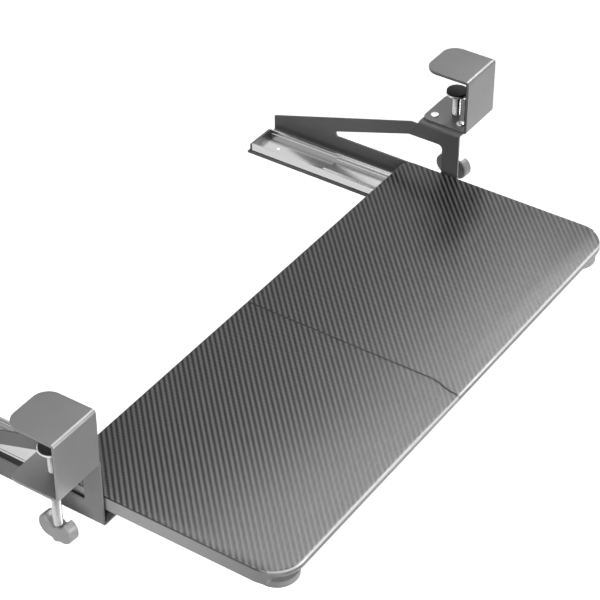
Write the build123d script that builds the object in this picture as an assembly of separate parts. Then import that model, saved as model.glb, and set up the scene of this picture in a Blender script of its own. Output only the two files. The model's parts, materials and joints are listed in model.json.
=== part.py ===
from build123d import *
import math
import os

# A keyboard tray that hangs under the front edge of a desk on two screw clamps.
# X runs along the desk edge to the right, Y goes back under the desk and Z is up.
# The origin is the middle of the desk edge: the front plates' inner faces lie in
# the plane Y = 0 and the top plates' undersides in the plane Z = 0.
# Everything stands as it does with the tray pulled out. All lengths are millimetres.

# Tray board, in two halves that meet at a seam
tray_width = 680
tray_depth = 280
tray_thickness = 18
tray_drop = 125
tray_reach = 209.5
corner_radius = 36
rear_corner_radius = 12
front_edge_round = 3
side_edge_round = 1
front_face_height = 7.5
front_zone = 21
seam_gap = 0.3
seam_shift = 9
seam_bend_length = 44
seam_end_straight = 1

# Dowels that line up the two halves
dowel_radius = 4
dowel_length = 40
dowel_fit = 0.05
dowel_end_room = 0.5
dowel_spacing = 80
dowel_count = 3
dowel_middle_y = -45

# Plates and screws that join the halves from below
joining_plate_width = 96
joining_plate_depth = 46
joining_plate_thickness = 2
joining_plate_round = 6
front_plate_y = -120
rear_plate_y = 20
joining_screw_inset = 14
joining_screw_row_inset = 12

# Round pads under the front corners
pad_radius = 23.5
pad_thickness = 8.5
pad_edge = 0.8
pad_side_inset = 31
pad_front_inset = 28.5
pad_recess_radius = 5
pad_recess_depth = 4

# Wood screws
wood_screw_radius = 1.75
wood_screw_depth = 11
wood_head_radius = 3.5
wood_head_height = 1.5
screw_fit = 0.05

# Ball-bearing slides, lying flat between bracket and tray
slide_width = 42
slide_height = 12.2
slide_length = 210
slide_front = 55
slide_pad_gap = 7.5
slide_end_room = 2.5
slide_side_gap = 16.5
outer_web = 1.5
outer_wall = 2
outer_wall_height = 10.9
outer_corner_round = 1.2
race_gap = 1
middle_wall = 3.2
middle_web = 1.5
middle_web_lift = 2.5
inner_wall = 2
inner_web = 1.5
inner_wall_lift = 5
inner_corner_round = 0.8
ball_radius = 1.5
ball_fit = 0.05
outer_ball_height = 6.7
inner_ball_height = 7.4
balls_per_row = 4
ball_end_inset = 11
cage_thickness = 0.6
cage_end_room = 3.75
cage_pocket_fit = 0.1
cage_lip = 2
outer_cage_travel_share = 0.25
inner_cage_travel_share = 0.75
buffer_thickness = 3
buffer_gap = 1
buffer_lift = 1

# Side brackets, bent from sheet
sheet = 2.5
bend_inner_radius = 1
bracket_side_gap = 6.5
bracket_front = 2.5
leg_width = 22.5
rail_height = 24.7
rail_end_height = 22
arm_height = 21.7
arm_length = 68
brace_width = 20
bottom_flange_width = 63
top_flange_width = 29
top_flange_length = 60
window_top_radius = 6
window_low_radius = 4
rail_screw_radius = 2
rail_head_radius = 3.8
rail_head_height = 2.2
rail_screw_spacing = 80
rail_screw_count = 3

# Screw clamps
clamp_plate = 3
clamp_bend_radius = 0.8
clamp_width = 64
clamp_side_gap = 4.7
clamp_depth = 60
clamp_height = 69.3
clamp_top_corner = 18
clamp_low_corner = 10
liner_thickness = 1
liner_inset = 0.4
liner_drop = 58
desk_thickness = 33
spindle_y = 29.6
spindle_radius = 5
spindle_fit = 0.05
spindle_hole_fit = 0.6
spindle_end_in_knob = 12
nut_flat_radius = 8.5
nut_height = 8
journal_radius = 3
journal_fit = 0.05
journal_play = 0.1
rivet_head_radius = 5
rivet_head_height = 1.5
rivet_head_room = 0.3
swivel_radius = 14
swivel_thickness = 2.5
swivel_boss_radius = 7.5
swivel_boss_height = 3.5
facing_radius = 13
facing_thickness = 2
bolt_radius = 3
bolt_fit = 0.2
bolt_head_radius = 5
bolt_head_height = 3
bolt_head_edge = 1
bolt_nut_radius = 5
bolt_nut_height = 5
bolt_stub = 1.5
bolt_from_plate_edge = 12
bolt_front_y = 12
bolt_spacing = 36

# Wing knob
knob_hub_radius = 7.6
knob_hub_height = 18.5
knob_hub_foot_radius = 7
knob_wing_thickness = 13.5
knob_wing_radius = 13.5
knob_wing_reach = 8.7
knob_wing_drop = 4
knob_notch_radius = 14
knob_top = 138
knob_edge = 1.4
knob_turn = 5

# Clear length for every cutting tool
overrun = 5

# Levels and places that follow from the sizes above
tray_top = -tray_drop
tray_under = tray_top - tray_thickness
tray_front = -tray_reach
tray_back = tray_front + tray_depth
tray_side = tray_width / 2
flange_top = tray_under - slide_height
bracket_low = flange_top - sheet
bracket_top = -clamp_height
bracket_inner_x = tray_side + bracket_side_gap
bracket_outer_x = bracket_inner_x + sheet
bracket_back = slide_front + slide_length + buffer_thickness + slide_end_room
slide_x = bracket_inner_x - slide_side_gap - slide_width / 2
clamp_inner_x = bracket_outer_x + clamp_side_gap
clamp_outer_x = clamp_inner_x + clamp_width
spindle_x = (clamp_inner_x + clamp_outer_x) / 2
bolt_x = clamp_inner_x + bolt_from_plate_edge
jaw_floor = clamp_plate - clamp_height
pad_face = -liner_thickness - desk_thickness
undercut = tray_thickness - front_face_height
pad_x = tray_side - pad_side_inset
pad_y = tray_front + pad_front_inset
slide_travel = slide_front - pad_y - pad_radius - slide_pad_gap
cage_length = slide_length - slide_travel / 2 - 2 * cage_end_room
ball_pitch = (cage_length - 2 * ball_end_inset) / (balls_per_row - 1)


def bar(low_a, high_a, low_b, high_b):
    """A flat rectangle between two places on each axis of its plane."""
    centre = Pos((low_a + high_a) / 2, (low_b + high_b) / 2)
    return centre * Rectangle(high_a - low_a, high_b - low_b)


def along_y(section, y_from, y_to):
    """A section drawn in X and Z, run from one Y to another."""
    plane = Plane(origin=(0, y_to, 0), x_dir=(1, 0, 0), z_dir=(0, -1, 0))
    return extrude(plane * section, y_to - y_from)


def along_x(section, x_from, x_to):
    """A section drawn in Y and Z, run from one X to another."""
    plane = Plane(origin=(x_from, 0, 0), x_dir=(0, 1, 0), z_dir=(1, 0, 0))
    return extrude(plane * section, x_to - x_from)


def block(x_from, x_to, y_from, y_to, z_from, z_to):
    """A box between two places on each axis."""
    return Pos(0, 0, z_from) * extrude(bar(x_from, x_to, y_from, y_to), z_to - z_from)


def rod(x, y, z_from, z_to, radius):
    """An upright cylinder."""
    return Pos(x, y, z_from) * extrude(Circle(radius), z_to - z_from)


def hexagon(x, y, z_from, z_to, flat_radius, bore_radius):
    """An upright hexagonal nut with a bore."""
    body = extrude(RegularPolygon(flat_radius, 6, major_radius=False), z_to - z_from)
    return Pos(x, y, z_from) * (body - extrude(Circle(bore_radius), z_to - z_from))


def spread(middle, pitch, count):
    """Places at one pitch, centred on a middle."""
    first = middle - pitch * (count - 1) / 2
    return [first + pitch * step for step in range(count)]


def solids_of(shapes):
    """Separate pieces kept together in one node."""
    return Compound(children=[solid for shape in shapes for solid in shape.solids()])


def to_left(shape):
    """The left-hand copy of a right-hand piece."""
    return mirror(shape, about=Plane.YZ)


# Tray board


def board_blank(edge_round):
    """The whole board before its undercut, with its top edges rounded."""
    outline = bar(-tray_side, tray_side, tray_front, tray_back)
    rows = outline.vertices().group_by(Axis.Y)
    outline = fillet(rows[0], corner_radius)
    rows = outline.vertices().group_by(Axis.Y)
    outline = fillet(rows[-1], rear_corner_radius)
    blank = Pos(0, 0, tray_under) * extrude(outline, tray_thickness)
    return fillet(blank.edges().group_by(Axis.Z)[-1], edge_round)


def whole_board():
    """A wide round and a finger undercut along the front, a small round elsewhere."""
    zone_end = tray_front + front_zone
    front_box = block(-tray_width, tray_width, tray_front - overrun, zone_end,
                      tray_under - overrun, tray_top + overrun)
    front_blank = board_blank(front_edge_round)
    front_blank = chamfer(front_blank.edges().group_by(Axis.Z)[0], undercut)
    return (front_blank & front_box) + (board_blank(side_edge_round) - front_box)


def left_of_seam(offset):
    """Everything left of the seam, which swings to the left near the front edge."""
    bend_from = tray_front + seam_end_straight + seam_bend_length
    bend_middle = (offset - seam_shift / 2, bend_from - seam_bend_length / 2)
    bend_to = (offset - seam_shift, bend_from - seam_bend_length)
    back_y = tray_back + overrun
    front_y = tray_front - overrun
    straight = Line((offset, back_y), (offset, bend_from))
    first_arc = TangentArc((offset, bend_from), bend_middle, tangent=(0, -1))
    second_arc = TangentArc(bend_middle, bend_to, tangent=first_arc % 1)
    front_line = Line(bend_to, (offset - seam_shift, front_y))
    around = Polyline((offset - seam_shift, front_y), (-tray_width, front_y),
                      (-tray_width, back_y), (offset, back_y))
    face = make_face(Curve() + [straight, first_arc, second_arc, front_line, around])
    return Pos(0, 0, tray_under - overrun) * extrude(face, tray_thickness + 2 * overrun)


def dowel_places():
    return spread(dowel_middle_y, dowel_spacing, dowel_count)


def dowels(radius, length):
    """Dowels across the seam at half the board's thickness."""
    level = (tray_top + tray_under) / 2
    plane = Plane(origin=(-length / 2, 0, 0), x_dir=(0, 1, 0), z_dir=(1, 0, 0))
    return [extrude(plane * Pos(y, level) * Circle(radius), length) for y in dowel_places()]


def joining_screw_places(plate_y):
    x_step = joining_plate_width / 2 - joining_screw_inset
    y_step = joining_plate_depth / 2 - joining_screw_row_inset
    return [(x, plate_y + y) for x in (-x_step, x_step) for y in (-y_step, y_step)]


def tray_rail_screw_places():
    """Screws that hold the inner slide members under the board, on the right."""
    member_middle = slide_front - slide_travel + (slide_length - buffer_gap) / 2
    return [(slide_x, y) for y in spread(member_middle, rail_screw_spacing, rail_screw_count)]


def pilot_holes(places, depth):
    return [rod(x, y, tray_under - overrun, tray_under + depth, wood_screw_radius + screw_fit)
            for x, y in places]


def board_halves():
    """Left and right halves, with dowel bores and pilot holes."""
    board = whole_board()
    bores = dowels(dowel_radius + dowel_fit, dowel_length + 2 * dowel_end_room)
    sides = tray_rail_screw_places() + [(pad_x, pad_y)]
    places = sides + [(-x, y) for x, y in sides]
    places += joining_screw_places(front_plate_y) + joining_screw_places(rear_plate_y)
    for cut in bores + pilot_holes(places, wood_screw_depth):
        board = board - cut
    left = board & left_of_seam(-seam_gap / 2)
    right = board - left_of_seam(seam_gap / 2)
    return left, right


def wood_screw(x, y, seat):
    """A pan-head screw whose head sits under a face and whose shank ends in the board."""
    head = rod(x, y, seat - wood_head_height, seat, wood_head_radius)
    shank = rod(x, y, seat, tray_under + wood_screw_depth - screw_fit, wood_screw_radius)
    return head + shank


def joining_plate(plate_y):
    """A flat steel plate across the seam."""
    outline = RectangleRounded(joining_plate_width, joining_plate_depth, joining_plate_round)
    low = tray_under - joining_plate_thickness
    plate = Pos(0, plate_y, low) * extrude(outline, joining_plate_thickness)
    for x, y in joining_screw_places(plate_y):
        plate = plate - rod(x, y, low - overrun, tray_under, wood_screw_radius + screw_fit)
    return plate


def corner_pad():
    """A round rubber pad under the right front corner, with a sunk screw."""
    low = tray_under - pad_thickness
    pad = rod(pad_x, pad_y, low, tray_under, pad_radius)
    pad = chamfer(pad.edges().group_by(Axis.Z)[0], pad_edge)
    recess = rod(pad_x, pad_y, low - overrun, low + pad_recess_depth, pad_recess_radius)
    hole = rod(pad_x, pad_y, low, tray_under, wood_screw_radius + screw_fit)
    return pad - recess - hole


def corner_pad_screw():
    return wood_screw(pad_x, pad_y, tray_under - pad_thickness + pad_recess_depth)


# Slides, drawn about their own middle with heights above the bracket's flange


outer_race = slide_width / 2 - outer_wall - race_gap / 2
middle_out = slide_width / 2 - outer_wall - race_gap
middle_in = middle_out - middle_wall
inner_race = middle_in - race_gap / 2
inner_out = middle_in - race_gap
closed_middle = slide_front + (slide_length - buffer_gap) / 2


def races(half_width, height):
    """The two round grooves that the balls run in."""
    groove = Circle(ball_radius + ball_fit)
    return Pos(half_width, height) * groove + Pos(-half_width, height) * groove


def member(section, y_from, length):
    """A slide member: its section run along Y at the slide's place."""
    placed = Pos(slide_x, flange_top) * section
    return along_y(placed, y_from, y_from + length)


def rail_screw_places():
    """Screws that hold the fixed member on the flange, on the right."""
    return [(slide_x, y) for y in spread(closed_middle, rail_screw_spacing, rail_screw_count)]


def outer_member():
    """The fixed channel, open at the top, with a race along each wall."""
    half = slide_width / 2
    section = bar(-half, half, 0, outer_wall_height)
    section = fillet(section.vertices().group_by(Axis.Y)[0], outer_corner_round)
    hollow = half - outer_wall
    section = section - bar(-hollow, hollow, outer_web, outer_wall_height + overrun)
    section = section - races(outer_race, outer_ball_height)
    channel = member(section, slide_front, slide_length)
    for x, y in rail_screw_places():
        hole = rod(x, y, flange_top - overrun, flange_top + slide_height,
                   rail_screw_radius + screw_fit)
        channel = channel - hole
    return channel


def middle_member():
    """The middle channel, with races on both faces of each wall."""
    section = bar(-middle_out, middle_out, middle_web_lift, outer_wall_height)
    floor = middle_web_lift + middle_web
    section = section - bar(-middle_in, middle_in, floor, outer_wall_height + overrun)
    section = section - races(outer_race, outer_ball_height)
    section = section - races(inner_race, inner_ball_height)
    y_from = slide_front - slide_travel / 2
    return member(section, y_from, slide_length - buffer_gap)


def inner_member():
    """The channel under the tray, open at the bottom, with a race along each wall."""
    section = bar(-inner_out, inner_out, inner_wall_lift, slide_height)
    section = fillet(section.vertices().group_by(Axis.Y)[-1], inner_corner_round)
    hollow = inner_out - inner_wall
    section = section - bar(-hollow, hollow, 0, slide_height - inner_web)
    section = section - races(inner_race, inner_ball_height)
    channel = member(section, slide_front - slide_travel, slide_length - buffer_gap)
    for x, y in tray_rail_screw_places():
        channel = channel - rod(x, y, flange_top, tray_under, wood_screw_radius + screw_fit)
    return channel


def cage(race, ball_height, web_level, middle_y):
    """A thin channel between two members, with a pocket for each ball."""
    half = race + cage_thickness / 2
    hollow = race - cage_thickness / 2
    wall_top = ball_height + ball_radius + cage_lip
    section = bar(-half, half, web_level, wall_top)
    web_top = web_level + cage_thickness
    section = section - bar(-hollow, hollow, web_top, wall_top + overrun)
    y_from = middle_y - cage_length / 2
    strip = member(section, y_from, cage_length)
    for y in spread(middle_y, ball_pitch, balls_per_row):
        pocket = Pos(y, flange_top + ball_height) * Circle(ball_radius + cage_pocket_fit)
        strip = strip - along_x(pocket, slide_x - slide_width / 2, slide_x + slide_width / 2)
    return strip


def balls(race, ball_height, middle_y):
    """Two rows of balls, one in each race."""
    level = flange_top + ball_height
    rows = [(slide_x + side * race, y) for side in (-1, 1)
            for y in spread(middle_y, ball_pitch, balls_per_row)]
    return solids_of([Pos(x, y, level) * Sphere(ball_radius) for x, y in rows])


outer_cage_y = closed_middle - slide_travel * outer_cage_travel_share
inner_cage_y = closed_middle - slide_travel * inner_cage_travel_share
outer_cage_web = (outer_web + middle_web_lift - cage_thickness) / 2
inner_cage_web = (middle_web_lift + middle_web + inner_wall_lift - cage_thickness) / 2


def slide_buffer():
    """The moulded stop that closes the rear end of the fixed channel."""
    half = slide_width / 2
    section = bar(-half, half, 0, outer_wall_height - buffer_lift)
    section = fillet(section.vertices(), outer_corner_round)
    return member(section, slide_front + slide_length, buffer_thickness)


def rail_screw(x, y):
    """A pan-head screw from under the flange into the fixed channel's web."""
    head = rod(x, y, bracket_low - rail_head_height, bracket_low, rail_head_radius)
    shank = rod(x, y, bracket_low, flange_top + outer_web, rail_screw_radius)
    return head + shank


# Side bracket


def bent_strip(corner_x, corner_z, reach_x, reach_z, y_from, y_to):
    """An L-shaped strip of sheet with one bend, run along Y."""
    step_x = math.copysign(sheet, reach_x)
    step_z = math.copysign(sheet, reach_z)
    far_x = corner_x + reach_x
    far_z = corner_z + reach_z
    section = make_face(Polyline(
        (corner_x, corner_z), (far_x, corner_z), (far_x, corner_z + step_z),
        (corner_x + step_x, corner_z + step_z), (corner_x + step_x, far_z),
        (corner_x, far_z), close=True))
    points = section.vertices()
    outside = points.sort_by_distance((corner_x, corner_z))[0]
    section = fillet(outside, bend_inner_radius + sheet)
    inside = section.vertices().sort_by_distance((corner_x + step_x, corner_z + step_z))[0]
    section = fillet(inside, bend_inner_radius)
    return along_y(section, y_from, y_to)


def side_window():
    """The long opening between leg, arm, brace and rail, in Y and Z."""
    front = bracket_front + leg_width
    low = bracket_low + rail_height
    high = bracket_top - arm_height
    brace_from = Vector(bracket_front + arm_length, bracket_top)
    brace_to = Vector(bracket_back, bracket_low + rail_end_height)
    run = (brace_to - brace_from).normalized()
    inner = brace_from - Vector(-run.Y, run.X) * brace_width
    high_y = inner.X + run.X * (high - inner.Y) / run.Y
    low_y = inner.X + run.X * (low - inner.Y) / run.Y
    window = make_face(Polyline((front, low), (low_y, low), (high_y, high), (front, high),
                                close=True))
    low_corners = window.vertices().group_by(Axis.Y)[0]
    window = fillet(low_corners, window_low_radius)
    high_corners = window.vertices().group_by(Axis.Y)[-1]
    corner = high_corners.sort_by(Axis.X)
    return fillet([corner[0], corner[-1]], window_top_radius)


def bracket():
    """The right side bracket: one sheet with a tall side and two bent flanges."""
    bend = bend_inner_radius + sheet
    side = make_face(Polyline(
        (bracket_front, bracket_low + bend), (bracket_back, bracket_low + bend),
        (bracket_back, bracket_low + rail_end_height),
        (bracket_front + arm_length, bracket_top - bend),
        (bracket_front, bracket_top - bend), close=True))
    plate = along_x(side, bracket_inner_x, bracket_outer_x)
    window = along_x(side_window(), bracket_inner_x - overrun, bracket_outer_x + overrun)
    low_flange = bent_strip(bracket_outer_x, bracket_low, -bottom_flange_width, 2 * bend,
                            bracket_front, bracket_back)
    top_flange = bent_strip(bracket_inner_x, bracket_top, top_flange_width, -2 * bend,
                            bracket_front, top_flange_length)
    shape = plate + low_flange + top_flange - window
    for x, y in bolt_places():
        shape = shape - rod(x, y, bracket_top - 2 * sheet, bracket_top + sheet,
                            bolt_radius + bolt_fit)
    for x, y in rail_screw_places():
        shape = shape - rod(x, y, bracket_low - sheet, flange_top, rail_screw_radius + screw_fit)
    return shape


# Screw clamp


def bolt_places():
    return [(bolt_x, bolt_front_y), (bolt_x, bolt_front_y + bolt_spacing)]


def clamp_frame():
    """The right clamp's jaw: one strip bent twice, rounded at its two free ends."""
    depth = clamp_depth
    section = bar(-clamp_plate, depth, -clamp_height, clamp_plate)
    section = fillet(section.vertices().group_by(Axis.X)[0], clamp_bend_radius + clamp_plate)
    hollow = bar(0, depth + overrun, jaw_floor, 0)
    hollow = fillet(hollow.vertices().group_by(Axis.X)[0], clamp_bend_radius)
    frame = along_x(section - hollow, clamp_inner_x, clamp_outer_x)
    ends = frame.edges().filter_by(Axis.Z).filter_by_position(Axis.Y, depth, depth)
    levels = ends.group_by(Axis.Z)
    frame = fillet(levels[-1], clamp_top_corner)
    ends = frame.edges().filter_by(Axis.Z).filter_by_position(Axis.Y, depth, depth)
    frame = fillet(ends.group_by(Axis.Z)[0], clamp_low_corner)
    frame = frame - rod(spindle_x, spindle_y, -clamp_height - overrun, jaw_floor + overrun,
                        spindle_radius + spindle_hole_fit)
    for x, y in bolt_places():
        frame = frame - rod(x, y, -clamp_height - overrun, jaw_floor + overrun,
                            bolt_radius + bolt_fit)
    return frame


def jaw_liner():
    """The rubber sheet stuck to the inside of the top and front plates."""
    top = bar(0, clamp_depth - liner_inset, -liner_thickness, 0)
    front = bar(0, liner_thickness, -liner_drop, 0)
    liner = along_x(top + front, clamp_inner_x + liner_inset, clamp_outer_x - liner_inset)
    corner = bar(0, clamp_bend_radius, -clamp_bend_radius, 0)
    inside = fillet(bar(0, clamp_depth, -clamp_height, 0).vertices().group_by(Axis.X)[0],
                    clamp_bend_radius)
    liner = liner - along_x(corner - inside, clamp_inner_x, clamp_outer_x)
    ends = liner.edges().filter_by(Axis.Z).filter_by_position(
        Axis.Y, clamp_depth - liner_inset, clamp_depth - liner_inset)
    return fillet(ends, clamp_top_corner - liner_inset)


def spindle_nut():
    """The nut welded under the jaw's lower plate."""
    low = -clamp_height - nut_height
    nut = hexagon(spindle_x, spindle_y, low, -clamp_height, nut_flat_radius,
                  spindle_radius + spindle_fit)
    return nut


swivel_top = pad_face - facing_thickness
swivel_low = swivel_top - swivel_thickness - swivel_boss_height
knob_top_z = -knob_top


def spindle():
    """The threaded rod, drawn plain, with the riveted journal that carries the plate."""
    low = knob_top_z - spindle_end_in_knob
    shoulder = swivel_low - journal_play
    head_top = swivel_top - journal_play
    shank = rod(spindle_x, spindle_y, low, shoulder, spindle_radius)
    journal = rod(spindle_x, spindle_y, shoulder, head_top, journal_radius)
    head = rod(spindle_x, spindle_y, head_top - rivet_head_height, head_top, rivet_head_radius)
    return shank + journal + head


def swivel_plate():
    """The round plate that stays still on the desk while the rod turns in its boss."""
    disc = rod(spindle_x, spindle_y, swivel_top - swivel_thickness, swivel_top, swivel_radius)
    boss = rod(spindle_x, spindle_y, swivel_low, swivel_top, swivel_boss_radius)
    bore = rod(spindle_x, spindle_y, swivel_low, swivel_top, journal_radius + journal_fit)
    recess_floor = swivel_top - rivet_head_height - 2 * journal_play
    recess = rod(spindle_x, spindle_y, recess_floor, swivel_top,
                 rivet_head_radius + rivet_head_room)
    return disc + boss - bore - recess


def pad_facing():
    """The rubber disc that presses on the desk."""
    return rod(spindle_x, spindle_y, swivel_top, pad_face, facing_radius)


def clamp_bolt(x, y):
    """A low-headed bolt down through the jaw's lower plate and the bracket's top flange."""
    head = rod(x, y, jaw_floor, jaw_floor + bolt_head_height, bolt_head_radius)
    head = chamfer(head.edges().group_by(Axis.Z)[-1], bolt_head_edge)
    tip = -clamp_height - sheet - bolt_nut_height - bolt_stub
    return head + rod(x, y, tip, jaw_floor, bolt_radius)


def clamp_bolt_nut(x, y):
    top = -clamp_height - sheet
    return hexagon(x, y, top - bolt_nut_height, top, bolt_nut_radius, bolt_radius + spindle_fit)


# Wing knob


def knob():
    """A moulded hub with two rounded wings that rise beside the rod."""
    hub_low = -knob_hub_height
    plane = Plane(origin=(0, 0, hub_low))
    hub = Solid.make_cone(knob_hub_foot_radius, knob_hub_radius, knob_hub_height, plane)
    wing_level = -knob_wing_drop
    lobes = Pos(knob_wing_reach, wing_level) * Circle(knob_wing_radius)
    lobes += Pos(-knob_wing_reach, wing_level) * Circle(knob_wing_radius)
    lobes += bar(-knob_wing_reach, knob_wing_reach, wing_level - knob_wing_radius,
                 wing_level + knob_wing_radius)
    notch = Pos(0, knob_notch_radius) * Circle(knob_notch_radius)
    outline = lobes - notch
    wings = along_x(outline, -knob_wing_thickness / 2, knob_wing_thickness / 2)
    wings = chamfer(wings.edges().filter_by(Plane.YZ), knob_edge)
    body = wings + hub
    bore = rod(0, 0, -spindle_end_in_knob, overrun, spindle_radius)
    return body - bore


def place_knob(side):
    """The knob on its rod, left as it was last turned."""
    return Pos(side * spindle_x, spindle_y, knob_top_z) * Rot(0, 0, -knob_turn) * knob()


# Assembly


def right_pieces():
    """Every piece that the left and right sides have alike."""
    return {
        "clamp_frame": clamp_frame(),
        "jaw_liner": jaw_liner(),
        "spindle_nut": spindle_nut(),
        "clamp_bolts": solids_of([clamp_bolt(x, y) for x, y in bolt_places()]),
        "clamp_nuts": solids_of([clamp_bolt_nut(x, y) for x, y in bolt_places()]),
        "spindle": spindle(),
        "swivel_plate": swivel_plate(),
        "pad_facing": pad_facing(),
        "bracket": bracket(),
        "rail_screws": solids_of([rail_screw(x, y) for x, y in rail_screw_places()]),
        "slide_outer_member": outer_member(),
        "slide_middle_member": middle_member(),
        "slide_inner_member": inner_member(),
        "slide_outer_cage": cage(outer_race, outer_ball_height, outer_cage_web, outer_cage_y),
        "slide_inner_cage": cage(inner_race, inner_ball_height, inner_cage_web, inner_cage_y),
        "slide_outer_balls": balls(outer_race, outer_ball_height, outer_cage_y),
        "slide_inner_balls": balls(inner_race, inner_ball_height, inner_cage_y),
        "slide_buffer": slide_buffer(),
        "tray_screws": solids_of([wood_screw(x, y, tray_under - inner_web)
                                  for x, y in tray_rail_screw_places()]),
        "corner_pad": corner_pad(),
        "corner_pad_screw": corner_pad_screw(),
    }


def all_pieces():
    """Each node's name and shape."""
    pieces = {}
    for name, shape in right_pieces().items():
        pieces["right_" + name] = shape
        pieces["left_" + name] = to_left(shape)
    pieces["right_knob"] = place_knob(1)
    pieces["left_knob"] = place_knob(-1)
    left_board, right_board = board_halves()
    pieces["left_board"] = left_board
    pieces["right_board"] = right_board
    pieces["board_dowels"] = solids_of(dowels(dowel_radius, dowel_length))
    pieces["front_joining_plate"] = joining_plate(front_plate_y)
    pieces["rear_joining_plate"] = joining_plate(rear_plate_y)
    seat = tray_under - joining_plate_thickness
    for name, plate_y in (("front", front_plate_y), ("rear", rear_plate_y)):
        screws = [wood_screw(x, y, seat) for x, y in joining_screw_places(plate_y)]
        pieces[name + "_joining_screws"] = solids_of(screws)
    return pieces


os.makedirs("parts", exist_ok=True)
for node_name, node_shape in all_pieces().items():
    export_step(node_shape, "parts/" + node_name + ".step")
    print(node_name, len(node_shape.solids()), round(node_shape.volume))
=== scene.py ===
# %% [markdown]
# # A sliding tray on two screw clamps
#
# A wide tray made of two boards hangs from two steel clamps, one at each end. Each clamp
# grips an edge from above and below, a bent bracket hangs from it, and the tray runs in
# and out between the brackets on ball-bearing slides. It is pulled out here, as in use.
#
# The working model is already a fixed frame of solid pieces. This file dresses it: it
# gives each piece a finish, puts threads on the screws, recesses in the screw heads and
# soft edges on the bent sheet, and lights the whole for one camera. Lengths are in metres,
# with x along the clamped edge, y back under it and z up. The turned shapes are worked out
# in millimetres, as a lathe hand would, and become metres at the end.

# %% Load the frame
import json
import math

import bmesh
import bpy
import numpy as np
from mathutils import Matrix, Vector

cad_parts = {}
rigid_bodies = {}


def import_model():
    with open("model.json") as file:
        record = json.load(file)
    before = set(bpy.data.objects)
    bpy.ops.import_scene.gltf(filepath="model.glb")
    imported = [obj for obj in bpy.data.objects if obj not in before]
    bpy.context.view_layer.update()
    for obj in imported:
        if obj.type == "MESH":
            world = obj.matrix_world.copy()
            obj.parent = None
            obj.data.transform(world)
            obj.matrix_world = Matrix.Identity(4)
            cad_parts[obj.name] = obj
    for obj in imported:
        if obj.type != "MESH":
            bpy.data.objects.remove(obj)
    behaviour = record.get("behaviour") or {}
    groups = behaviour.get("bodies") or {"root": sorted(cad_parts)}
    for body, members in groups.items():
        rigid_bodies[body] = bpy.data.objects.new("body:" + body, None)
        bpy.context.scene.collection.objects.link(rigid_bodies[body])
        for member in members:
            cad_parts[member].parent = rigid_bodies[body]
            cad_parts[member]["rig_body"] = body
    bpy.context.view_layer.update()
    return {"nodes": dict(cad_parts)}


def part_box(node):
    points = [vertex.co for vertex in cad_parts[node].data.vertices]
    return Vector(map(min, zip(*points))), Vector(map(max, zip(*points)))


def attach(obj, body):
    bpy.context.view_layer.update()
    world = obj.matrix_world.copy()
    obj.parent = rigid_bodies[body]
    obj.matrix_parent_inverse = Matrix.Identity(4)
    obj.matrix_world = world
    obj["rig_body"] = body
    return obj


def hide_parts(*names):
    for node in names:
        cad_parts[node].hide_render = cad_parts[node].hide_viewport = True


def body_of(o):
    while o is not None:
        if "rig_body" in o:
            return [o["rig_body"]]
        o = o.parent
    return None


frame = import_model()
nodes = frame["nodes"]
MM = 0.001
SIDES = (("left", -1), ("right", 1))
scene = bpy.context.scene

# %% [markdown]
# ## The camera
#
# A camera can be guessed by eye and nudged, or worked out from edges whose real sizes
# are known. This one was worked out: its place, its turn about the vertical, its dip
# below the horizon and its focal length made the tray's edges, both clamps and the
# brackets fall within half a pixel of where the picture has them. It is a long lens, so
# the far clamp looks almost as large as the near one.

# %% Place the camera
camera_place = Vector((-1.5143, -1.0177, 1.3182))
camera_turn = math.radians(56.116)
camera_dip = math.radians(37.717)
camera_roll = math.radians(-0.07)

camera_data = bpy.data.cameras.new("camera")
camera_data.sensor_width = 36
camera_data.lens = 126.46
camera_data.clip_start = 0.05
camera_data.clip_end = 20
camera = bpy.data.objects.new("camera", camera_data)
turned = Matrix.Rotation(-camera_turn, 4, "Z")
dipped = Matrix.Rotation(math.pi / 2 - camera_dip, 4, "X")
rolled = Matrix.Rotation(camera_roll, 4, "Z")
camera.matrix_world = Matrix.Translation(camera_place) @ turned @ dipped @ rolled
scene.collection.objects.link(camera)
scene.camera = camera
scene.view_settings.view_transform = "Standard"
print("camera looks along", camera.matrix_world.to_3x3() @ Vector((0, 0, -1)))

# %% [markdown]
# ## Writing a finish as a sum
#
# A finish is a small graph of shader nodes. Adding each node by hand hides the idea
# behind the wiring. Here a number that travels through the graph is wrapped in a class
# that knows plus, minus, times and by, so a pattern reads like the sum it is.

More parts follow.
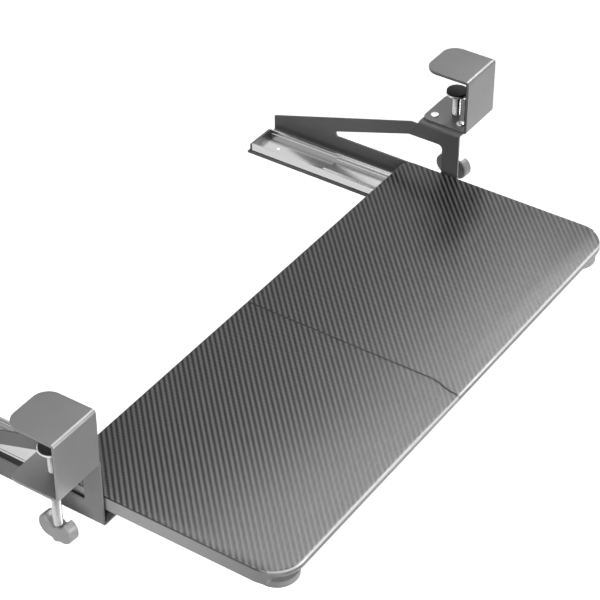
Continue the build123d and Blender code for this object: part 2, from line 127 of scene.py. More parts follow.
# %% Numbers that travel through the graph
class Amount:
    """A number in the shader graph. A sum, product or comparison of it adds a Math node."""

    def __init__(self, graph, socket):
        self.graph = graph
        self.socket = socket

    def maths(self, operation, *inputs):
        made = self.graph.node("ShaderNodeMath", {"operation": operation},
                               dict(enumerate(inputs)))
        return Amount(self.graph, made.outputs[0])

    def __add__(self, other):
        return self.maths("ADD", self, other)

    def __radd__(self, other):
        return self.maths("ADD", other, self)

    def __sub__(self, other):
        return self.maths("SUBTRACT", self, other)

    def __rsub__(self, other):
        return self.maths("SUBTRACT", other, self)

    def __mul__(self, other):
        return self.maths("MULTIPLY", self, other)

    def __rmul__(self, other):
        return self.maths("MULTIPLY", other, self)

    def __truediv__(self, other):
        return self.maths("DIVIDE", self, other)

    def __rtruediv__(self, other):
        return self.maths("DIVIDE", other, self)

    def __gt__(self, other):
        return self.maths("GREATER_THAN", self, other)

    def __lt__(self, other):
        return self.maths("LESS_THAN", self, other)

    def __neg__(self):
        return self.maths("SUBTRACT", 0.0, self)

    def __abs__(self):
        return self.maths("ABSOLUTE", self)

    def or_more(self, other):
        """The larger of this amount and another."""
        return self.maths("MAXIMUM", self, other)

    def wave(self):
        """The sine of this amount, moved into the range 0 to 1."""
        return self.maths("SINE", self) * 0.5 + 0.5

    def step(self, low, high):
        """0 below low, 1 above high, and a soft rise between them."""
        made = self.graph.node("ShaderNodeMapRange", {"interpolation_type": "SMOOTHSTEP"},
                               {"Value": self, "From Min": low, "From Max": high})
        return Amount(self.graph, made.outputs["Result"])

    def strip(self, rise, fall):
        """0 below rise, 1 between rise and fall, and 0 above fall, each a low and a high."""
        return self.step(*rise) * (1 - self.step(*fall))

print("an amount can be added, multiplied, compared, waved and stepped")

# %% [markdown]
# ## Any other node
#
# Every other kind of node comes from one method: its settings first, because some of
# them change its sockets, then what goes into the sockets. What comes from another node
# is linked, and a plain value is typed in. The materials and the world share it.

# %% Trees of nodes
class Graph:
    """A tree of shader nodes, to which nodes and links are added by one method each."""

    def __init__(self, tree):
        self.tree = tree

    def feed(self, socket, value):
        """A link where the value comes from another node, else a plain value."""
        if isinstance(value, Amount):
            self.tree.links.new(value.socket, socket)
        elif isinstance(value, bpy.types.NodeSocket):
            self.tree.links.new(value, socket)
        else:
            socket.default_value = value

    def node(self, kind, settings=None, inputs=None):
        made = self.tree.nodes.new(kind)
        for word, value in (settings or {}).items():
            setattr(made, word, value)
        for socket, value in (inputs or {}).items():
            self.feed(made.inputs[socket], value)
        return made

    def seen_directly(self):
        """1 for rays from the camera, from a shiny surface or through a clear one."""
        path = self.node("ShaderNodeLightPath")
        kinds = ("Is Camera Ray", "Is Glossy Ray", "Is Transmission Ray")
        camera_ray, glossy_ray, clear_ray = [Amount(self, path.outputs[k]) for k in kinds]
        return camera_ray.or_more(glossy_ray).or_more(clear_ray)

print("trees of nodes can be grown")

# %% [markdown]
# ## What a finish is made of
#
# Each finish is one shader with constants for its material, and a few noises or waves
# laid out in the piece's own metres. So a pattern has its real size on every piece, and
# it stays where it is on a piece that moves.

# %% Finishes
class Finish(Graph):
    """A material whose patterns are laid out in the piece's own metres."""

    def __init__(self, name, shine=0.5, **constants):
        self.material = bpy.data.materials.new(name)
        self.material.use_nodes = True
        super().__init__(self.material.node_tree)
        self.shader = self.tree.nodes["Principled BSDF"]
        coordinates = self.node("ShaderNodeTexCoord")
        self.place = coordinates.outputs["Object"]
        self.facing = coordinates.outputs["Normal"]
        for word, value in constants.items():
            self.feed(self.shader.inputs[word.replace("_", " ").title()], value)
        self.feed(self.shader.inputs["Specular IOR Level"], shine)

    def parts(self, vector):
        """The x, y and z of a vector as three amounts."""
        made = self.node("ShaderNodeSeparateXYZ", inputs={0: vector})
        return [Amount(self, made.outputs[i]) for i in range(3)]

    def grain(self, per_metre, detail=2.0, stretch=(1, 1, 1)):
        """Noise from 0 to 1 whose lumps are about 1 / per_metre across."""
        moved = self.node("ShaderNodeMapping", inputs={"Vector": self.place, "Scale": stretch})
        made = self.node("ShaderNodeTexNoise", inputs={
            "Vector": moved.outputs[0], "Scale": per_metre, "Detail": detail})
        return Amount(self, made.outputs["Fac"])

    def grey(self, low, high, mask):
        """The colour low where the mask is 0 and high where it is 1. A number is a grey."""
        colours = [(v, v, v, 1) if isinstance(v, (int, float)) else v for v in (low, high)]
        made = self.node("ShaderNodeMix", {"data_type": "RGBA"},
                         {0: mask, 6: colours[0], 7: colours[1]})
        return made.outputs[2]

    def mottled(self, shade, share, mask):
        """A shade that varies by a share of itself, up and down, as the mask does."""
        return self.grey(shade * (1 - share), shade * (1 + share), mask)

    def paint(self, colour, roughness=None, height=None, depth=0.0):
        """Feeds the shader. height is bumped in or out by up to depth metres."""
        self.feed(self.shader.inputs["Base Color"], colour)
        if roughness is not None:
            self.feed(self.shader.inputs["Roughness"], roughness)
        if height is not None:
            bump = self.node("ShaderNodeBump", inputs={"Distance": depth, "Height": height})
            self.feed(self.shader.inputs["Normal"], bump.outputs[0])
        return self.material

print("a finish can be written")

# %% [markdown]
# ## Coated sheet
#
# The clamps and brackets are bent from sheet steel and powder-coated grey. Powder melts
# into a skin that is not quite flat: it has a fine dimpled surface and very slight pale
# and dark clouds. A flat grey would look like paper, and a picture of a coat would
# stretch round the bends. Two noises in the piece's own metres do neither.

# %% Coats for clamps and brackets
def powder_coat(name, shade, gloss, shine):
    """Clouds some 5 cm across shift the shade, and 1 mm dimples are bumped into it."""
    coat = Finish(name, shine)
    clouds = coat.grain(per_metre=22, detail=3.0)
    dimples = coat.grain(per_metre=900, detail=1.0)
    roughness = gloss + dimples * 0.10 + clouds * 0.05
    return coat.paint(coat.mottled(shade, 0.08, clouds), roughness, dimples, 0.03 * MM)

clamp_coat = powder_coat("clamp_coat", shade=0.18, gloss=0.14, shine=0.5)
bracket_coat = powder_coat("bracket_coat", shade=0.16, gloss=0.24, shine=0.1)
print("coats:", clamp_coat.name, bracket_coat.name)

# %% [markdown]
# ## Bare and plated metal
#
# Screws, nuts and plates are zinc-plated, the clamp screws are turned bright, and the
# slides are cold-rolled strip. All are metals, so their look is what they reflect, and
# what differs is how that reflection is broken up. Plating has small soft patches. Rolled
# strip has faint streaks along its length, which is y for the slides. Turned steel is
# marked round its axis, and balls are nearly a mirror. So each is one noise, stretched or
# not, on roughness and brightness.

# %% Metals
along_y, round_z = (1, 0.02, 1), (1, 1, 4)

def metal(name, shade, rough, per_metre, stretch=(1, 1, 1), spread=0.14, depth=0.006 * MM):
    """Patches add up to spread to the roughness, and shift the shade by that share."""
    made = Finish(name, metallic=1.0)
    patches = made.grain(per_metre, 3.0, stretch)
    return made.paint(made.mottled(shade, spread / 2, patches), rough + patches * spread,
                      patches, depth)

bright_zinc = metal("bright_zinc", 0.78, 0.22, per_metre=260)
turned_steel = metal("turned_steel", 0.66, 0.18, per_metre=500, stretch=round_z, spread=0.10)
rolled_steel = metal("rolled_steel", 0.55, 0.13, per_metre=900, stretch=along_y, spread=0.10)
cage_steel = metal("cage_steel", 0.50, 0.32, per_metre=700, stretch=(1, 0.05, 1))
ball_steel = metal("ball_steel", 0.82, 0.08, per_metre=1500, spread=0.06, depth=0.001 * MM)
print("metals:", bright_zinc.name, turned_steel.name, rolled_steel.name)

# %% [markdown]
# ## Rubber and moulded plastic
#
# The jaw liners and pad facings are sheet rubber, the corner pads are softer grey rubber,
# and the knobs and stops are moulded. Rubber is dull and slightly mottled. A moulded knob
# has the fine even grain that its mould was etched with, so it is a little shinier and
# its grain is sharper.

# %% Rubber and plastic
def moulded(name, shade, rough, per_metre, depth, shine=0.4):
    """Mottles about 2 cm across shift the shade, and a fine grain roughens and bumps it."""
    made = Finish(name, shine)
    mottle = made.grain(per_metre=60)
    grain = made.grain(per_metre)
    return made.paint(made.mottled(shade, 0.15, mottle), rough + grain * 0.12, grain, depth)

black_rubber = moulded("black_rubber", 0.014, 0.62, 1600, 0.04 * MM, shine=0.25)
grey_rubber = moulded("grey_rubber", 0.27, 0.55, 1200, 0.03 * MM, shine=0.3)
knob_plastic = moulded("knob_plastic", 0.21, 0.30, 2400, 0.02 * MM)
stop_plastic = moulded("stop_plastic", 0.018, 0.36, 2000, 0.02 * MM)
print("moulded:", knob_plastic.name, stop_plastic.name)

# %% [markdown]
# ## The sides of a board
#
# The boards are chipboard in a hard laminate. The top has the pattern, the rims are
# banded, and the underside is plain. A board could be cut up and given a material for
# each side, but then its rounded edges would need a border. Which way the surface faces
# tells the sides apart as well, with a soft change from one to the next. Its z is 1 on
# the top, 0 on the rims and -1 underneath, and its x and y tell one rim from another.

# %% Masks for the sides of a board
seam_reach = 30 * MM
laminate = Finish("tray_laminate", shine=0.20, coat_roughness=0.10)
x, y, z = laminate.parts(laminate.place)
facing_x, facing_y, facing_z = laminate.parts(laminate.facing)
# at_seam finds the groove at the seam, whose faces get a painted shade further down.
at_seam = ((abs(x) < seam_reach) * abs(facing_x).step(0.20, 0.35)
           * (1 - abs(facing_y).step(0.4, 0.6)))
top = facing_z.step(0.80, 0.93) * (1 - at_seam)
under = (-facing_z).step(0.5, 0.8)
forward = (-facing_y).step(0.2, 0.4)
rolled_edge = facing_z.strip((0.10, 0.30), (0.95, 0.99)) * (1 - at_seam)
# painted_lip_highlight marks the front lip, where a pale painted highlight goes.
painted_lip_highlight = facing_z.strip((0.30, 0.45), (0.88, 0.96)) * forward * (1 - at_seam)
print("the seam is looked for within", seam_reach, "m of the middle")

# %% [markdown]
# ## Ribs
#
# Dark and pale ribs run across the tray at a slant, 5.7 mm apart. They are far shallower
# than a tenth of a millimetre, and cut ribs would need a mesh of millions of faces. So
# they are drawn: a sine of the distance across them gives both the shade and a slight
# bump. A finer sine along them notches their edges, and two noises keep them from being
# ruler-straight.

# %% Ribs of the laminate
rib_pitch, notch_pitch = 5.7 * MM, 2.3 * MM
rib_across = Vector((-0.682, 0.731))
drift_size, wobble_size, notch_size = 0.5, 0.22, 0.8
tray_depth = 280 * MM

drift = (laminate.grain(per_metre=9, detail=1.0) - 0.5) * drift_size
wobble = (laminate.grain(per_metre=350) - 0.5) * wobble_size
across = (x * rib_across.x + y * rib_across.y) * (2 * math.pi / rib_pitch) + drift
along = (x * rib_across.y - y * rib_across.x) * (2 * math.pi / notch_pitch)
notch = (along.wave() - 0.5) * notch_size
rib = (across.wave() + wobble + notch).step(0.20, 1.02)
print("ribs from front to back:", round(tray_depth / rib_pitch * abs(rib_across.y)))

# %% [markdown]
# ## Colours of the laminate
#
# The rims are banded in plain grey. A thin dark line of glue shows under the laminate's
# sharp top edge on the ends, and a dark line under the rolled lip in front. A pale line
# along the lip is a painted highlight, and the rolled edge has a clear coat that catches
# the light. The groove at the seam is painted near-black, as painted shade in the gap.

# %% Painting the laminate
valley_shade, ridge_shade, band_shade, back_shade = 0.002, 0.150, 0.26, 0.10
# A pale grey for the lip's painted highlight; near-black for glue lines and the seam's painted
# shade.
painted_highlight_grey, glue_and_painted_seam_grey = 0.50, 0.02
glue_line_z = -126.7 * MM
lip_z, lip_half = -128.9 * MM, 0.8 * MM

speckle = laminate.grain(per_metre=700)
glue = (z > glue_line_z) * (1 - top) * (1 - forward)
lip = (1 - abs(z - lip_z) / lip_half) * (-facing_y).step(0.7, 0.9)
# The seam's groove is painted as dark as the glue lines: painted shade in the gap between the
# boards.
glue_lines_and_painted_seam_shade = glue.or_more(lip.step(0.0, 0.6)).or_more(at_seam)
banded = laminate.mottled(band_shade, 0.1, speckle)
rim = laminate.grey(banded, glue_and_painted_seam_grey, glue_lines_and_painted_seam_shade)
# A pale line painted along the front lip: a painted highlight in place of a lamp's reflection.
rim = laminate.grey(rim, painted_highlight_grey, painted_lip_highlight)
sides = laminate.grey(rim, laminate.mottled(back_shade, 0.2, speckle), under)
ribbed = laminate.grey(valley_shade, ridge_shade, rib)
laminate_roughness = 0.16 + speckle * 0.06 + (1 - top) * 0.2
tray_laminate = laminate.paint(laminate.grey(sides, ribbed, top), laminate_roughness,
                               rib * top + speckle * 0.1, 0.04 * MM)
laminate.feed(laminate.shader.inputs["Coat Weight"], rolled_edge)
print("laminate:", tray_laminate.name)

# %% [markdown]
# ## Wood for the dowels
#
# Three dowels line up the two boards. They are hidden in the closed seam, but a library
# part is also looked at taken apart. Dowels are split along the grain, so the streaks
# follow x, their length.

# %% Wood
dark_streak, pale_streak = (0.42, 0.30, 0.18, 1), (0.62, 0.47, 0.30, 1)
wood = Finish("dowel_wood", shine=0.3)
streaks = wood.grain(per_metre=900, detail=3.0, stretch=(0.04, 1, 1))
dowel_wood = wood.paint(wood.grey(dark_streak, pale_streak, streaks),
                        0.6 + streaks * 0.1, streaks, 0.04 * MM)
print("wood:", dowel_wood.name)

# %% [markdown]
# ## A new piece in place of a solid
#
# Every piece that is made here takes the place of one solid: it rides on the same body
# and hides the solid. Whatever way it was made, it arrives as a bmesh, so one function
# does all of that.

# %% Standing for a solid
sharp_from = math.radians(32)

def finished_piece(work, material, node):
    """Turns a bmesh into a smooth-shaded object with a finish, which stands for a solid."""
    mesh = bpy.data.meshes.new(node + "_made")
    work.to_mesh(mesh)
    work.free()
    mesh.materials.clear()
    mesh.materials.append(material)
    mesh.shade_smooth()
    mesh.set_sharp_from_angle(angle=sharp_from)
    piece = bpy.data.objects.new(node + "_made", mesh)
    scene.collection.objects.link(piece)
    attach(piece, body_of(nodes[node])[0])
    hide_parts(node)
    return piece

# %% [markdown]
# ## Soft edges on the solid pieces
#
# The solid pieces have mathematically sharp edges, and no made thing has. A sheared and
# coated edge is a few tenths of a millimetre round, which is what catches the light as a
# thin bright line. Each piece is copied, its loose triangles are merged into real faces,
# and a bevel rounds only the edges that turn sharply, so the bends stay as they are. A
# width of 0 leaves the edges alone, as on the balls, their cages and the boards.

# %% Copies with soft edges
merge_gap = 0.01 * MM
flat_within = math.radians(0.4)
bevel_steps = 2

def bevelled(piece, name, width, limit):
    """Adds a bevel modifier whose width is in millimetres."""
    bevel = piece.modifiers.new(name, "BEVEL")
    bevel.width = width * MM
    bevel.segments = bevel_steps
    bevel.limit_method = limit
    bevel.harden_normals = True
    return bevel

def softened(node, material, width):
    """The solid's own faces, merged, with each edge sharper than sharp_from bevelled."""
    work = bmesh.new()
    work.from_mesh(nodes[node].data)
    bmesh.ops.remove_doubles(work, verts=work.verts, dist=merge_gap)
    bmesh.ops.dissolve_limit(work, angle_limit=flat_within, verts=work.verts,
                             edges=work.edges)
    piece = finished_piece(work, material, node)
    if width:
        bevelled(piece, "soft_edges", width, "ANGLE").angle_limit = sharp_from

dressed = {
    "clamp_frame": (clamp_coat, 0.5), "jaw_liner": (black_rubber, 0.15),
    "bracket": (bracket_coat, 0.4), "swivel_plate": (bright_zinc, 0.3),
    "pad_facing": (black_rubber, 0.3), "corner_pad": (grey_rubber, 0.4),
    "slide_outer_member": (rolled_steel, 0.15), "slide_middle_member": (rolled_steel, 0.15),
    "slide_inner_member": (rolled_steel, 0.15), "slide_outer_cage": (cage_steel, 0),
    "slide_inner_cage": (cage_steel, 0), "slide_outer_balls": (ball_steel, 0),
    "slide_inner_balls": (ball_steel, 0), "slide_buffer": (stop_plastic, 0.5),
    "knob": (knob_plastic, 0.8), "board": (tray_laminate, 0),
}
centre_dressed = {
    "board_dowels": (dowel_wood, 0.3), "front_joining_plate": (bright_zinc, 0.3),
    "rear_joining_plate": (bright_zinc, 0.3),
}
for side, _ in SIDES:
    for name, (material, width) in dressed.items():
        softened(f"{side}_{name}", material, width)
for name, (material, width) in centre_dressed.items():
    softened(name, material, width)
print("pieces dressed:", len(SIDES) * len(dressed) + len(centre_dressed))

# %% [markdown]
# ## A groove along the seam
#
# The two boards meet face to face, so from above only the break of their top edges shows
# where one ends. A bevel of the whole board would also round its rims, which have their
# shape already. So the edges near the seam and near the top are given a weight, and a
# bevel reads that weight. The seam swings aside near the front, and the edges follow it.

# %% Groove along the seam
groove_from, groove_width = -128 * MM, 1.2

def groove_at_seam(piece):
    """Bevels the edges with both ends within seam_reach of x = 0 and above groove_from."""
    mesh = piece.data
    places = np.empty(len(mesh.vertices) * 3)
    mesh.vertices.foreach_get("co", places)
    across, _, height = places.reshape(-1, 3).T
    near = (np.abs(across) < seam_reach) & (height > groove_from)
    ends = np.empty(len(mesh.edges) * 2, dtype=int)
    mesh.edges.foreach_get("vertices", ends)
    along_seam = near[ends.reshape(-1, 2)].all(axis=1)
    weights = mesh.attributes.new("bevel_weight_edge", "FLOAT", "EDGE")
    weights.data.foreach_set("value", along_seam.astype(float))
    bevelled(piece, "seam_groove", groove_width, "WEIGHT").use_clamp_overlap = False
    return int(along_seam.sum())

for side, _ in SIDES:
    print(side, "seam edges:", groove_at_seam(bpy.data.objects[f"{side}_board_made"]))

# %% [markdown]
# ## Surfaces turned round an axis
#
# Every screw, bolt and nut here is turned round one upright axis, so one idea makes them
# all: rings of points stacked along the axis, each ring with its own radius at each
# angle. A round ring makes a shank, a six-sided one a nut, a four-armed one the recess of
# a screw. Whole arrays are computed at once, one row per ring and one column per angle.

# %% Rings into surfaces
def angles(steps):
    """Equal steps once round the axis, from 0."""
    return np.arange(steps) * (2 * math.pi / steps)

def round_rings(radii, around):
    """Each radius as one row, the same at every angle."""
    return np.repeat(np.array(radii, dtype=float)[:, None], len(around), axis=1)

def turned_surface(radii, heights, x, y, closed=False):
    """Point (i, j) is x + r_ij cos a_j, y + r_ij sin a_j, z_ij, with rings joined in turn.

    The end rings are capped, or the last joins the first where closed is set.
    """
    rings, steps = radii.shape
    around = angles(steps)
    points = np.stack([x + radii * np.cos(around), y + radii * np.sin(around),
                       np.broadcast_to(heights, radii.shape)], axis=-1).reshape(-1, 3)
    i = np.arange(rings if closed else rings - 1)[:, None]
    j = np.arange(steps)
    above, beside = (i + 1) % rings, (j + 1) % steps
    quads = np.stack([i * steps + j, i * steps + beside,
                      above * steps + beside, above * steps + j], axis=-1).reshape(-1, 4)
    caps = [] if closed else [np.stack([j[::-1], j + (rings - 1) * steps])]
    return points, [quads] + caps

def surface_piece(node, surfaces, material):
    """Several surfaces as one piece that stands for a solid, its faces turned outwards.

    Their points are put in one array, and the corners of each face are counted on by the
    number of points that come before its surface.
    """
    starts = np.cumsum([0] + [len(points) for points, _ in surfaces])
    points = np.concatenate([points for points, _ in surfaces])
    faces = [group + start for start, (_, groups) in zip(starts, surfaces)
             for group in groups]
    mesh = bpy.data.meshes.new("work")
    mesh.from_pydata((points * MM).tolist(), [], [face for group in faces
                                                  for face in group.tolist()])
    work = bmesh.new()
    work.from_mesh(mesh)
    bpy.data.meshes.remove(mesh)
    bmesh.ops.recalc_face_normals(work, faces=work.faces)
    return finished_piece(work, material, node)

print("one turn in four steps:", angles(4))

# %% [markdown]
# ## Outlines and threads
#
# An outline that is not round is a radius that depends on the angle. Where the radius
# depends on the height less the angle, it winds: that is a thread. Its section is a V
# with the crest and the root cut flat, as on a real thread.

# %% Outlines and threads
def six_sided(flats, around):
    """Distance from the axis to a hexagon's side, in each direction; corners lie on x."""
    from_side = np.mod(around, math.pi / 3) - math.pi / 6
    return flats / 2 / np.cos(from_side)

def four_armed(width, reach, around):
    """The lesser of reach and half the width over the sine, or the cosine, of the angle."""
    nearly_zero = 0.001
    along_x = np.minimum(reach, width / 2 / np.maximum(np.abs(np.sin(around)), nearly_zero))
    along_y = np.minimum(reach, width / 2 / np.maximum(np.abs(np.cos(around)), nearly_zero))
    return np.maximum(along_x, along_y)

def threaded(radius, depth, pitch, heights, around, fade):
    """The radius of a thread: radius less depth times a groove that winds with height.

    The groove's place is the fraction of height / pitch - angle / turn, and its section
    is a V with flat crest and root. fade is 1 where the thread is full and 0 at its ends.
    """
    steepness, crest = 1.3, 0.15
    place = np.mod(heights / pitch - around / (2 * math.pi), 1)
    groove = np.clip(steepness * (1 - np.abs(2 * place - 1)) - crest, 0, 1)
    return radius - depth * groove * fade

print("a cross, at 0 and 45 degrees:", four_armed(1, 2, np.array([0, math.pi / 4])))

# %% [markdown]
# ## The clamp screws
#
# Each clamp screw is a bright 10 mm rod with a 1.5 mm thread, seen in front of the
# bracket between the knob and the jaw. A bump map would draw the thread but leave its
# outline straight, and on a bright rod the outline is what shows. So the thread is cut:
# some seventy turns at eight rings a turn. Above it a plain journal passes through the
# swivel plate and ends in a low rivet head.

# %% Clamp screws
screw_x, screw_y = 385.7, 29.6
screw_radius, screw_pitch, thread_depth = 5.0, 1.5, 0.86
knob_end, shoulder_z, rivet_top = -150.0, -42.1, -36.1
journal_radius, rivet_radius, rivet_height = 3.0, 4.9, 1.5
end_chamfer, end_chamfer_height, rings_a_turn = 0.9, 1.0, 8

def clamp_screw(x):
    """Rings of thread from the knob to the shoulder, then rings of journal and rivet."""
    around = angles(36)
    heights = np.arange(knob_end, shoulder_z, screw_pitch / rings_a_turn)[:, None]
    from_end = np.minimum(heights - knob_end, shoulder_z - heights)
    fade = np.clip(from_end / screw_pitch, 0, 1)
    thread = threaded(screw_radius, thread_depth, screw_pitch, heights, around, fade)
    chamfer = np.clip(1 - from_end / end_chamfer_height, 0, 1) * end_chamfer
    rivet_seat = rivet_top - rivet_height
    profile = [(journal_radius, shoulder_z), (journal_radius, rivet_seat),
               (rivet_radius, rivet_seat), (rivet_radius, rivet_top - 0.6),
               (rivet_radius * 0.86, rivet_top - 0.2), (rivet_radius * 0.5, rivet_top),
               (0.2, rivet_top)]
    top_radii, top_heights = np.array(profile).T
    radii = np.concatenate([thread - chamfer, round_rings(top_radii, around)])
    return turned_surface(radii, np.concatenate([heights, top_heights[:, None]]), x, screw_y)

for side, sign in SIDES:
    piece = surface_piece(f"{side}_spindle", [clamp_screw(sign * screw_x)], turned_steel)
    print(piece.name, "faces:", len(piece.data.polygons))

# %% [markdown]
# ## Nuts and the weld
#
# A nut is a hexagon whose corners are turned off to a cone at each end. Two shapes are
# compared at every height: the six-sided outline and the cone's circle, and the smaller
# radius wins, which gives the curved line on each flat for nothing. The big nut under
# each jaw is welded on, so a rippled bead runs round its upper edge.

# %% Nuts
def nut(x, y, low, high, flats, bore):
    """Rings up the outside, each the lesser of hexagon and cone, and down the bore."""
    around = angles(72)
    corner, end_radius, lead_in = flats / 2 / math.cos(math.pi / 6), flats / 2 * 0.95, 0.5
    cone_height = (corner - end_radius) * 0.6
    shares = np.array([0, 0.25, 0.5, 0.75, 1.0])
    cone = end_radius + (corner - end_radius) * shares
    circles = round_rings(np.concatenate([cone, cone[::-1]]), around)
    outside = np.minimum(six_sided(flats, around), circles)
    inside = round_rings([bore + lead_in, bore, bore, bore + lead_in], around)
    heights = np.concatenate([low + cone_height * shares, high - cone_height * shares[::-1],
                              [high, high - lead_in, low + lead_in, low]])
    return turned_surface(np.concatenate([outside, inside]), heights[:, None], x, y, True)

def weld_bead(x, y, z, flats):
    """A circle of radius 1.15 + 0.13 sin 34 a, carried round a hexagon, a the angle."""
    bead_radius, ripple, ripples, off_the_flats = 1.15, 0.13, 34, 0.1
    around = angles(144)
    turn = angles(10)[:, None]
    bead = bead_radius + ripple * np.sin(around * ripples)
    radii = six_sided(flats, around) + off_the_flats + bead * np.cos(turn)
    return turned_surface(radii, z + bead * np.sin(turn), x, y, True)

big_flats, big_low, big_high, big_bore = 17.0, -77.3, -69.3, 5.05
small_flats, small_low, small_high, small_bore = 10.0, -76.8, -71.8, 3.02
weld_z = -69.6
bolt_x, bolt_rows = 365.7, (12.0, 48.0)
nuts_made = 0
for side, sign in SIDES:
    welded = [nut(sign * screw_x, screw_y, big_low, big_high, big_flats, big_bore),
              weld_bead(sign * screw_x, screw_y, weld_z, big_flats)]
    surface_piece(f"{side}_spindle_nut", welded, bright_zinc)
    pair = [nut(sign * bolt_x, y, small_low, small_high, small_flats, small_bore)
            for y in bolt_rows]
    surface_piece(f"{side}_clamp_nuts", pair, bright_zinc)
    nuts_made += 1 + len(pair)
print("nuts:", nuts_made)

# %% [markdown]
# ## One profile for every screw
#
# All the small screws share one profile: a recess in the middle of the head, a low dome,
# a rounded rim, the flat seat, then a shank with its thread. Only the sizes, the recess
# and the end differ, so one function makes the tray's wood screws with their points, the
# screws of the slides, and the socket-headed bolts of the clamps, which point down.

# %% A screw
def screw(x, y, seat, length, recess, head, shank, pitch, pointed=0.0, down=False):
    """Rings from the recess's floor over the head and along the shank.

    recess is (outline in each direction, depth), head is (radius, height), and pointed
    is the length over which the shank narrows to its end.
    """
    around = angles(48)
    (outline, depth), (head_radius, head_height) = recess, head
    round_ring = np.ones(len(around))
    sag = head_height * 0.22
    head_rings = [(0.1 * round_ring, depth), (outline(around) * 0.85, depth),
                  (outline(around), sag * 0.12), (0.74 * head_radius * round_ring, sag * 0.5),
                  (0.90 * head_radius * round_ring, sag),
                  (0.98 * head_radius * round_ring, sag * 1.9),
                  (head_radius * round_ring, sag * 3.0), (head_radius * round_ring, head_height),
                  (shank * 1.02 * round_ring, head_height)]
    along = np.arange(0.2, length, pitch / 6)[:, None]
    fade = np.clip(along / pitch, 0, 1) * np.clip((length - along) / pitch, 0, 1)
    narrowed = np.clip((length - along) / pointed, 0.12, 1) if pointed else 1
    thread = threaded(shank, shank * 0.24, pitch, along, around, fade) * narrowed
    tip = thread[-1:] * 0.7
    radii = np.concatenate([np.array([r for r, _ in head_rings]), thread, tip])
    depths = np.concatenate([[[h - head_height] for _, h in head_rings], along, [[length]]])
    if down:
        return turned_surface(radii[::-1], seat - depths[::-1], x, y)
    return turned_surface(radii, seat + depths, x, y)

def cross_recess(around):
    """A cross with arms 1.1 mm wide that reach 2 mm from the middle."""
    return four_armed(1.1, 2.0, around)

def socket_recess(around):
    """A hexagon 4 mm across its flats."""
    return six_sided(4.0, around)

rail_screw = {"recess": (cross_recess, 1.0), "head": (3.8, 2.2), "shank": 2.0, "pitch": 0.7}
wood_screw = {"recess": (cross_recess, 1.0), "head": (3.5, 1.5), "shank": 1.75, "pitch": 1.4,
              "pointed": 3.5}
clamp_bolt = {"recess": (socket_recess, 1.7), "head": (5.0, 3.0), "shank": 3.0, "pitch": 1.0,
              "down": True}
points, _ = screw(0, 0, 0, 12.0, **wood_screw)
print("points in a wood screw:", len(points))

# %% [markdown]
# ## Screws and bolts in their places
#
# The tray's screws sit as far in front of the rails' as the tray is pulled out, so one
# row of places serves both. Each screw is as long as its solid is tall above the seat,
# which keeps the dressed piece inside the frame's box.

# %% Screws
slide_x, slide_travel = 309.0, 205.0
rail_rows = (79.5, 159.5, 239.5)
tray_rows = [y - slide_travel for y in rail_rows]
pad_x, pad_y = 309.0, -181.0
rail_seat, tray_seat, pad_seat, plate_seat, bolt_seat = -157.7, -144.5, -147.5, -145.0, -66.3
bolt_length = 12.0
plate_rows, hole_x, hole_y = {"front": -120.0, "rear": 20.0}, 34.0, 11.0

def height_of(node):
    """How high the solid's top is, in millimetres."""
    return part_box(node)[1][2] / MM

def row_of_screws(node, places, seat, kind):
    """Equal screws at the places, from the seat up to the solid's top. Returns how many."""
    length = height_of(node) - seat
    surface_piece(node, [screw(x, y, seat, length, **kind) for x, y in places], bright_zinc)
    return len(places)

screws_made = 0
for side, sign in SIDES:
    rail_places = [(sign * slide_x, y) for y in rail_rows]
    tray_places = [(sign * slide_x, y) for y in tray_rows]
    screws_made += row_of_screws(f"{side}_rail_screws", rail_places, rail_seat, rail_screw)
    screws_made += row_of_screws(f"{side}_tray_screws", tray_places, tray_seat, wood_screw)
    screws_made += row_of_screws(f"{side}_corner_pad_screw", [(sign * pad_x, pad_y)],
                                 pad_seat, wood_screw)
    bolts = [screw(sign * bolt_x, y, bolt_seat, bolt_length, **clamp_bolt) for y in bolt_rows]
    surface_piece(f"{side}_clamp_bolts", bolts, bright_zinc)
    screws_made += len(bolts)
for row, plate_y in plate_rows.items():
    places = [(x, plate_y + y) for x in (-hole_x, hole_x) for y in (-hole_y, hole_y)]
    screws_made += row_of_screws(f"{row}_joining_screws", places, plate_seat, wood_screw)
print("screws and bolts:", screws_made)

# %% [markdown]
# ## The floor
#
# The object hangs in the air. A plain pale floor far below closes the view. It is white
# where the camera, or a shiny surface, looks at it, but it partly stays a lit floor, so
# that a soft shadow of the object is left on it. From below it is clear, so that the
# underside of the tray can be looked at through it.

# %% Floor
floor_z, floor_half, floor_white_share = -1.1, 9.0, 0.85

floor_mesh = bpy.data.meshes.new("floor")
corners = [(-1, -1), (1, -1), (1, 1), (-1, 1)]
floor_mesh.from_pydata([(a * floor_half, b * floor_half, floor_z) for a, b in corners],
                       [], [(0, 1, 2, 3)])
floor = bpy.data.objects.new("floor", floor_mesh)
scene.collection.objects.link(floor)

floor_paint = Finish("floor_paint", roughness=0.9, shine=0.0, emission_strength=1.0)
floor_paint.paint(floor_paint.grey(0.88, 0.90, floor_paint.grain(per_metre=1.5, detail=1.0)))
floor_paint.feed(floor_paint.shader.inputs["Emission Color"],
                 floor_paint.grey(0.0, floor_white_share, floor_paint.seen_directly()))
from_below = floor_paint.node("ShaderNodeNewGeometry").outputs["Backfacing"]
clear = floor_paint.node("ShaderNodeBsdfTransparent").outputs[0]
one_sided = floor_paint.node("ShaderNodeMixShader", inputs={
    0: from_below, 1: floor_paint.shader.outputs[0], 2: clear})
floor_paint.feed(floor_paint.tree.nodes["Material Output"].inputs["Surface"],
                 one_sided.outputs[0])
floor_mesh.materials.append(floor_paint.material)
print("floor at", floor_z)

# %% [markdown]
# ## The surroundings
#
# The world is a plain low level of light from all sides, and white only where it is
# looked at, or mirrored. So the background can be white without washing out the object.

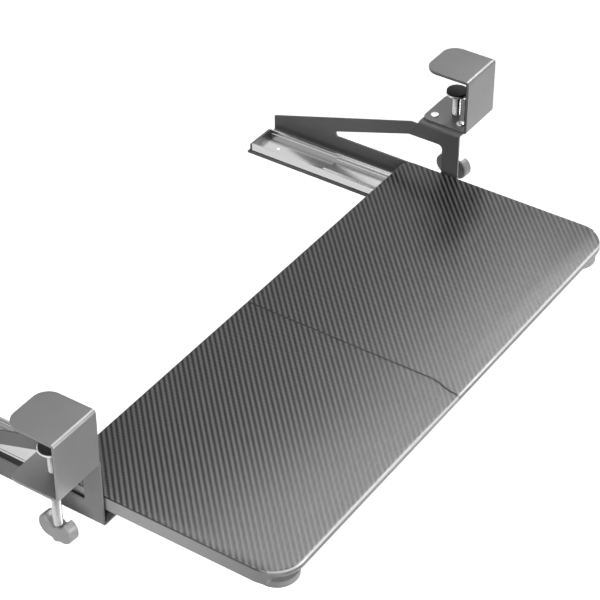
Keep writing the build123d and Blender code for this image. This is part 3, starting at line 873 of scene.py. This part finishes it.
# %% World
world_level = 0.12
world = bpy.data.worlds.new("plain_surroundings")
scene.world = world
world.use_nodes = True
surroundings = Graph(world.node_tree)
background = world.node_tree.nodes["Background"]
surroundings.feed(background.inputs["Color"], (1, 1, 1, 1))
surroundings.feed(background.inputs["Strength"],
                  world_level + surroundings.seen_directly() * (1 - world_level))
print("world level", world_level)

# %% [markdown]
# ## Lamps
#
# Three soft panels light the object: one above, one in front, and a small one close to
# the near bracket, which keeps that bracket paler than the far one. The small one has a
# narrow beam and isn't mirrored, because the tray would mirror it as a glare along its
# length. Two more are seen only by shiny surfaces, as a studio's reflecting cards are.
# One lies where the tray mirrors it to the camera, and lays a pale sheen over the tray's
# front strip that fades towards the back. The other stands lower and further forward, and
# is mirrored by the bends of the clamps and by the tray's front rim, as thin bright lines.
# On the front rim a painted highlight in the laminate's colour adds to that line.

# %% Lamps
def panel(name, place, target, size, power, seen_by="all", spread=180):
    """An area lamp at place that faces target, or straight down where that is None.

    seen_by names the surfaces that it reaches: all, matt or shiny. A spread of fewer
    degrees gathers the same power into a narrower beam.
    """
    data = bpy.data.lights.new(name, "AREA")
    data.shape = "RECTANGLE"
    data.size, data.size_y = size
    data.energy = power
    data.spread = math.radians(spread)
    lamp = bpy.data.objects.new(name, data)
    turn = Matrix.Identity(4)
    if target:
        aim = Vector(target) - Vector(place)
        turn = aim.to_track_quat("-Z", "Y").to_matrix().to_4x4()
    lamp.matrix_world = Matrix.Translation(Vector(place)) @ turn
    lamp.visible_diffuse = seen_by != "shiny"
    lamp.visible_glossy = seen_by != "matt"
    scene.collection.objects.link(lamp)
    return lamp

lamps = [
    panel("top_panel", (-0.10, 0.30, 1.60), (-0.10, 0.00, 0.00), (1.0, 0.8), 11.0),
    panel("front_panel", (0.40, -1.70, 0.40), (0.00, 0.00, -0.10), (0.8, 0.8), 33.0),
    panel("left_panel", (-0.85, -0.21, 0.07), (-0.38, 0.00, -0.13), (0.3, 0.3), 0.52,
          seen_by="matt", spread=55),
    panel("sheen_panel", (1.85, 0.035, 1.87), None, (2.4, 2.07), 178.0, seen_by="shiny"),
    panel("bend_panel", (1.42, -0.95, 1.15), (0.00, 0.00, 0.00), (1.3, 0.5), 10.0,
          seen_by="shiny"),
]
print("lamps:", [lamp.name for lamp in lamps])
